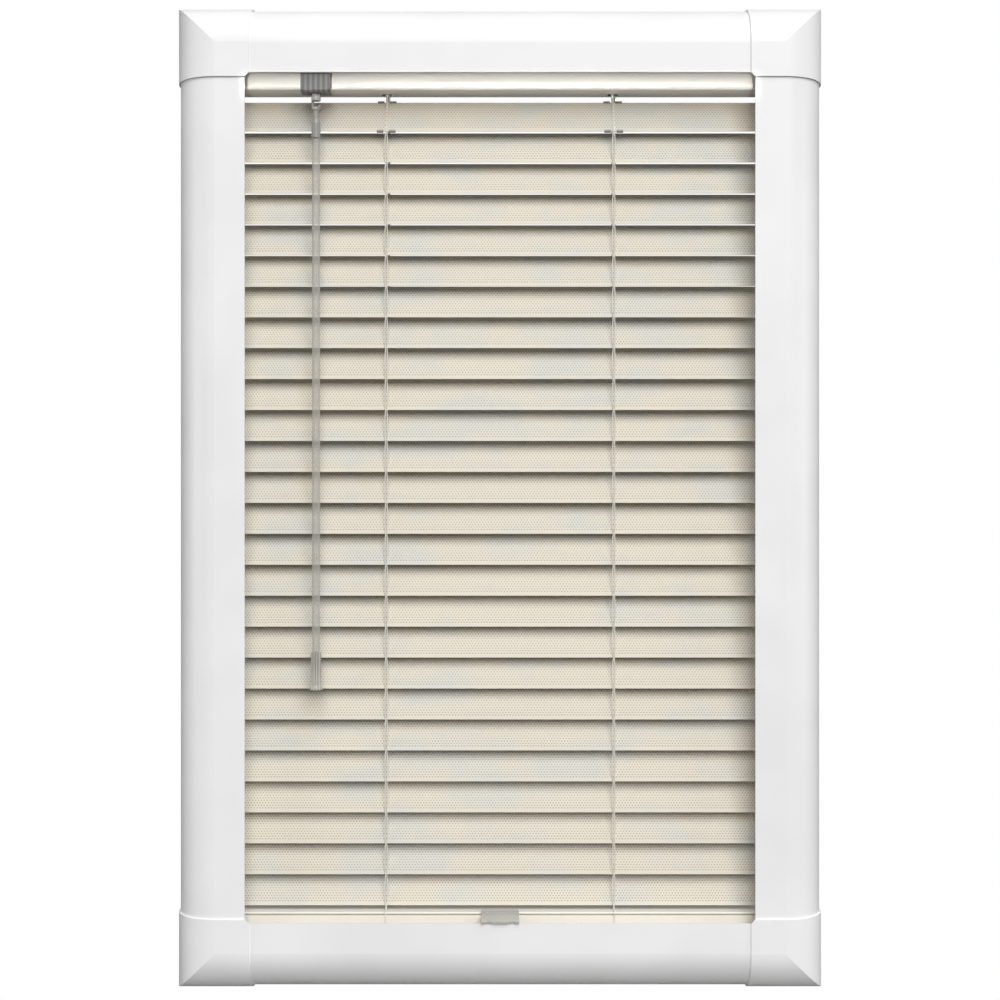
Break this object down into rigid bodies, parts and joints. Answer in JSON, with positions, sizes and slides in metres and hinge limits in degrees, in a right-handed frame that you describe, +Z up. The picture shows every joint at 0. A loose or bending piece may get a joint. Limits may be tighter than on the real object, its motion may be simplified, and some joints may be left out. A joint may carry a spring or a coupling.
{
  "type": "venetian blind",
  "caption": "Clip-in framed venetian blind with perforated crowned slats, worm tilter, clear tilt wand, string ladders and a bottom rail lifted by a clear tab.",
  "frame": {"origin": "middle of the bottom bar's window-side face", "axes": "+Z up, +Y towards the window, +X to the right seen from the room"},
  "size_m": [0.4478, 0.056, 0.6802],
  "materials": {
    "frame_white": "satin",
    "clip_steel": "satin",
    "rail_cream": "satin",
    "slat_cream": "satin",
    "inner_plastic": "satin",
    "shaft_steel": "satin",
    "clear_grey": "gloss",
    "clear_wand": "gloss",
    "cord": "braided"
  },
  "bodies": {
    "frame": {"frame_rails": "frame_white", "frame_stiles": "frame_white", "corner_covers": "frame_white", "window_clips": "clip_steel", "headrail": "rail_cream", "headrail_end_caps": "inner_plastic", "headrail_hangers": "clip_steel", "tilter_housing": "clear_grey", "ladder_cradles": "inner_plastic", "lift_spring_unit": "inner_plastic", "headrail_cord_leads": "cord"},
    "tilter_stem": {"tilter_worm": "clear_grey"},
    "tilt_shaft": {"tilt_rod": "shaft_steel", "tilt_gear": "inner_plastic", "ladder_drums": "inner_plastic"},
    "wand": {"wand_eye": "clear_grey", "wand_rod": "clear_wand", "wand_handle": "clear_wand"},
    "bottom_rail": {"bottom_rail": "rail_cream", "bottom_rail_end_caps": "inner_plastic", "pull_tab": "clear_wand", "rail_cord_tails": "cord", "ladder_plugs": "inner_plastic"},
    "ladder_fronts": {"ladder_front_strings": "cord"},
    "ladder_backs": {"ladder_back_strings": "cord", "lift_cords": "cord"},
    "slat_01": {"slat_01": "slat_cream", "top_slat_clips": "clip_steel"},
    "slat_02": {"slat_02": "slat_cream"},
    "slat_03": {"slat_03": "slat_cream"},
    "slat_04": {"slat_04": "slat_cream"},
    "slat_05": {"slat_05": "slat_cream"},
    "slat_06": {"slat_06": "slat_cream"},
    "slat_07": {"slat_07": "slat_cream"},
    "slat_08": {"slat_08": "slat_cream"},
    "slat_09": {"slat_09": "slat_cream"},
    "slat_10": {"slat_10": "slat_cream"},
    "slat_11": {"slat_11": "slat_cream"},
    "slat_12": {"slat_12": "slat_cream"},
    "slat_13": {"slat_13": "slat_cream"},
    "slat_14": {"slat_14": "slat_cream"},
    "slat_15": {"slat_15": "slat_cream"},
    "slat_16": {"slat_16": "slat_cream"},
    "slat_17": {"slat_17": "slat_cream"},
    "slat_18": {"slat_18": "slat_cream"},
    "slat_19": {"slat_19": "slat_cream"},
    "rungs_19": {"ladder_rungs_19": "cord"},
    "slat_20": {"slat_20": "slat_cream"},
    "rungs_20": {"ladder_rungs_20": "cord"},
    "slat_21": {"slat_21": "slat_cream"},
    "rungs_21": {"ladder_rungs_21": "cord"},
    "slat_22": {"slat_22": "slat_cream"},
    "rungs_22": {"ladder_rungs_22": "cord"},
    "slat_23": {"slat_23": "slat_cream"},
    "rungs_23": {"ladder_rungs_23": "cord"},
    "slat_24": {"slat_24": "slat_cream"},
    "rungs_24": {"ladder_rungs_24": "cord"},
    "slat_25": {"slat_25": "slat_cream"},
    "rungs_25": {"ladder_rungs_25": "cord"},
    "slat_26": {"slat_26": "slat_cream"}
  },
  "joints": [
    {"name": "wand_turn", "type": "hinge", "parent": "frame", "child": "tilter_stem", "pos_m": [-0.1264, -0.03365, 0.5891], "axis": [0, 0, -1], "range_deg": [0, 1800]},
    {"name": "shaft_turn", "type": "hinge", "parent": "frame", "child": "tilt_shaft", "pos_m": [0, -0.0209, 0.6163], "axis": [-1, 0, 0], "range_deg": [0, 128.57], "deforming": ["headrail_cord_leads", "rail_cord_tails", "ladder_rungs_19", "ladder_rungs_20", "ladder_rungs_21", "ladder_rungs_22", "ladder_rungs_23", "ladder_rungs_24", "ladder_rungs_25"]},
    {"name": "wand_swing", "type": "hinge", "parent": "tilter_stem", "child": "wand", "pos_m": [-0.1264, -0.03365, 0.5891], "axis": [-1, 0, 0], "range_deg": [0, 60]},
    {"name": "rail_lift", "type": "slide", "parent": "frame", "child": "bottom_rail", "axis": [0, 0, 1], "range_m": [0, 0.1528], "deforming": ["ladder_front_strings", "ladder_back_strings", "lift_cords"]},
    {"name": "slat_01_tilt", "type": "hinge", "parent": "frame", "child": "slat_01", "pos_m": [0, -0.016, 0.5882], "axis": [-1, 0, 0], "range_deg": [0, 128.57]},
    {"name": "slat_02_tilt", "type": "hinge", "parent": "frame", "child": "slat_02", "pos_m": [0, -0.016, 0.5667], "axis": [-1, 0, 0], "range_deg": [0, 128.57]},
    {"name": "slat_03_tilt", "type": "hinge", "parent": "frame", "child": "slat_03", "pos_m": [0, -0.016, 0.5452], "axis": [-1, 0, 0], "range_deg": [0, 128.57]},
    {"name": "slat_04_tilt", "type": "hinge", "parent": "frame", "child": "slat_04", "pos_m": [0, -0.016, 0.5237], "axis": [-1, 0, 0], "range_deg": [0, 128.57]},
    {"name": "slat_05_tilt", "type": "hinge", "parent": "frame", "child": "slat_05", "pos_m": [0, -0.016, 0.5022], "axis": [-1, 0, 0], "range_deg": [0, 128.57]},
    {"name": "slat_06_tilt", "type": "hinge", "parent": "frame", "child": "slat_06", "pos_m": [0, -0.016, 0.4807], "axis": [-1, 0, 0], "range_deg": [0, 128.57]},
    {"name": "slat_07_tilt", "type": "hinge", "parent": "frame", "child": "slat_07", "pos_m": [0, -0.016, 0.4592], "axis": [-1, 0, 0], "range_deg": [0, 128.57]},
    {"name": "slat_08_tilt", "type": "hinge", "parent": "frame", "child": "slat_08", "pos_m": [0, -0.016, 0.4377], "axis": [-1, 0, 0], "range_deg": [0, 128.57]},
    {"name": "slat_09_tilt", "type": "hinge", "parent": "frame", "child": "slat_09", "pos_m": [0, -0.016, 0.4162], "axis": [-1, 0, 0], "range_deg": [0, 128.57]},
    {"name": "slat_10_tilt", "type": "hinge", "parent": "frame", "child": "slat_10", "pos_m": [0, -0.016, 0.3947], "axis": [-1, 0, 0], "range_deg": [0, 128.57]},
    {"name": "slat_11_tilt", "type": "hinge", "parent": "frame", "child": "slat_11", "pos_m": [0, -0.016, 0.3732], "axis": [-1, 0, 0], "range_deg": [0, 128.57]},
    {"name": "slat_12_tilt", "type": "hinge", "parent": "frame", "child": "slat_12", "pos_m": [0, -0.016, 0.3517], "axis": [-1, 0, 0], "range_deg": [0, 128.57]},
    {"name": "slat_13_tilt", "type": "hinge", "parent": "frame", "child": "slat_13", "pos_m": [0, -0.016, 0.3302], "axis": [-1, 0, 0], "range_deg": [0, 128.57]},
    {"name": "slat_14_tilt", "type": "hinge", "parent": "frame", "child": "slat_14", "pos_m": [0, -0.016, 0.3087], "axis": [-1, 0, 0], "range_deg": [0, 128.57]},
    {"name": "slat_15_tilt", "type": "hinge", "parent": "frame", "child": "slat_15", "pos_m": [0, -0.016, 0.2872], "axis": [-1, 0, 0], "range_deg": [0, 128.57]},
    {"name": "slat_16_tilt", "type": "hinge", "parent": "frame", "child": "slat_16", "pos_m": [0, -0.016, 0.2657], "axis": [-1, 0, 0], "range_deg": [0, 128.57]},
    {"name": "slat_17_tilt", "type": "hinge", "parent": "frame", "child": "slat_17", "pos_m": [0, -0.016, 0.2442], "axis": [-1, 0, 0], "range_deg": [0, 128.57]},
    {"name": "slat_18_tilt", "type": "hinge", "parent": "frame", "child": "slat_18", "pos_m": [0, -0.016, 0.2227], "axis": [-1, 0, 0], "range_deg": [0, 128.57]},
    {"name": "rungs_19_lift", "type": "slide", "parent": "frame", "child": "rungs_19", "axis": [0, 0, 1], "range_m": [0, 0.0191]},
    {"name": "slat_19_tilt", "type": "hinge", "parent": "rungs_19", "child": "slat_19", "pos_m": [0, -0.016, 0.2012], "axis": [-1, 0, 0], "range_deg": [0, 128.57]},
    {"name": "rungs_20_lift", "type": "slide", "parent": "frame", "child": "rungs_20", "axis": [0, 0, 1], "range_m": [0, 0.0382]},
    {"name": "slat_20_tilt", "type": "hinge", "parent": "rungs_20", "child": "slat_20", "pos_m": [0, -0.016, 0.1797], "axis": [-1, 0, 0], "range_deg": [0, 128.57]},
    {"name": "rungs_21_lift", "type": "slide", "parent": "frame", "child": "rungs_21", "axis": [0, 0, 1], "range_m": [0, 0.0573]},
    {"name": "slat_21_tilt", "type": "hinge", "parent": "rungs_21", "child": "slat_21", "pos_m": [0, -0.016, 0.1582], "axis": [-1, 0, 0], "range_deg": [0, 128.57]},
    {"name": "rungs_22_lift", "type": "slide", "parent": "frame", "child": "rungs_22", "axis": [0, 0, 1], "range_m": [0, 0.0764]},
    {"name": "slat_22_tilt", "type": "hinge", "parent": "rungs_22", "child": "slat_22", "pos_m": [0, -0.016, 0.1367], "axis": [-1, 0, 0], "range_deg": [0, 128.57]},
    {"name": "rungs_23_lift", "type": "slide", "parent": "frame", "child": "rungs_23", "axis": [0, 0, 1], "range_m": [0, 0.0955]},
    {"name": "slat_23_tilt", "type": "hinge", "parent": "rungs_23", "child": "slat_23", "pos_m": [0, -0.016, 0.1152], "axis": [-1, 0, 0], "range_deg": [0, 128.57]},
    {"name": "rungs_24_lift", "type": "slide", "parent": "frame", "child": "rungs_24", "axis": [0, 0, 1], "range_m": [0, 0.1146]},
    {"name": "slat_24_tilt", "type": "hinge", "parent": "rungs_24", "child": "slat_24", "pos_m": [0, -0.016, 0.0937], "axis": [-1, 0, 0], "range_deg": [0, 128.57]},
    {"name": "rungs_25_lift", "type": "slide", "parent": "frame", "child": "rungs_25", "axis": [0, 0, 1], "range_m": [0, 0.1337]},
    {"name": "slat_25_tilt", "type": "hinge", "parent": "rungs_25", "child": "slat_25", "pos_m": [0, -0.016, 0.0722], "axis": [-1, 0, 0], "range_deg": [0, 128.57]},
    {"name": "slat_26_tilt", "type": "hinge", "parent": "bottom_rail", "child": "slat_26", "pos_m": [0, -0.016, 0.0507], "axis": [-1, 0, 0], "range_deg": [0, 128.57]},
    {"name": "ladder_fronts_level", "type": "hinge", "parent": "slat_01", "child": "ladder_fronts", "pos_m": [0, -0.02142, 0.57694], "axis": [1, 0, 0], "range_deg": [0, 128.57]},
    {"name": "ladder_backs_level", "type": "hinge", "parent": "slat_01", "child": "ladder_backs", "pos_m": [0, -0.01058, 0.59946], "axis": [1, 0, 0], "range_deg": [0, 128.57]}
  ],
  "couplings": [
    {"joint": "wand_turn", "follows": "shaft_turn", "ratio": 14},
    {"joint": "slat_01_tilt", "follows": "shaft_turn", "ratio": 1},
    {"joint": "slat_02_tilt", "follows": "shaft_turn", "ratio": 1},
    {"joint": "slat_03_tilt", "follows": "shaft_turn", "ratio": 1},
    {"joint": "slat_04_tilt", "follows": "shaft_turn", "ratio": 1},
    {"joint": "slat_05_tilt", "follows": "shaft_turn", "ratio": 1},
    {"joint": "slat_06_tilt", "follows": "shaft_turn", "ratio": 1},
    {"joint": "slat_07_tilt", "follows": "shaft_turn", "ratio": 1},
    {"joint": "slat_08_tilt", "follows": "shaft_turn", "ratio": 1},
    {"joint": "slat_09_tilt", "follows": "shaft_turn", "ratio": 1},
    {"joint": "slat_10_tilt", "follows": "shaft_turn", "ratio": 1},
    {"joint": "slat_11_tilt", "follows": "shaft_turn", "ratio": 1},
    {"joint": "slat_12_tilt", "follows": "shaft_turn", "ratio": 1},
    {"joint": "slat_13_tilt", "follows": "shaft_turn", "ratio": 1},
    {"joint": "slat_14_tilt", "follows": "shaft_turn", "ratio": 1},
    {"joint": "slat_15_tilt", "follows": "shaft_turn", "ratio": 1},
    {"joint": "slat_16_tilt", "follows": "shaft_turn", "ratio": 1},
    {"joint": "slat_17_tilt", "follows": "shaft_turn", "ratio": 1},
    {"joint": "slat_18_tilt", "follows": "shaft_turn", "ratio": 1},
    {"joint": "rungs_19_lift", "follows": "rail_lift", "ratio": 0.125},
    {"joint": "slat_19_tilt", "follows": "shaft_turn", "ratio": 1},
    {"joint": "rungs_20_lift", "follows": "rail_lift", "ratio": 0.25},
    {"joint": "slat_20_tilt", "follows": "shaft_turn", "ratio": 1},
    {"joint": "rungs_21_lift", "follows": "rail_lift", "ratio": 0.375},
    {"joint": "slat_21_tilt", "follows": "shaft_turn", "ratio": 1},
    {"joint": "rungs_22_lift", "follows": "rail_lift", "ratio": 0.5},
    {"joint": "slat_22_tilt", "follows": "shaft_turn", "ratio": 1},
    {"joint": "rungs_23_lift", "follows": "rail_lift", "ratio": 0.625},
    {"joint": "slat_23_tilt", "follows": "shaft_turn", "ratio": 1},
    {"joint": "rungs_24_lift", "follows": "rail_lift", "ratio": 0.75},
    {"joint": "slat_24_tilt", "follows": "shaft_turn", "ratio": 1},
    {"joint": "rungs_25_lift", "follows": "rail_lift", "ratio": 0.875},
    {"joint": "slat_25_tilt", "follows": "shaft_turn", "ratio": 1},
    {"joint": "slat_26_tilt", "follows": "shaft_turn", "ratio": 1},
    {"joint": "ladder_fronts_level", "follows": "shaft_turn", "ratio": 1},
    {"joint": "ladder_backs_level", "follows": "shaft_turn", "ratio": 1}
  ]
}
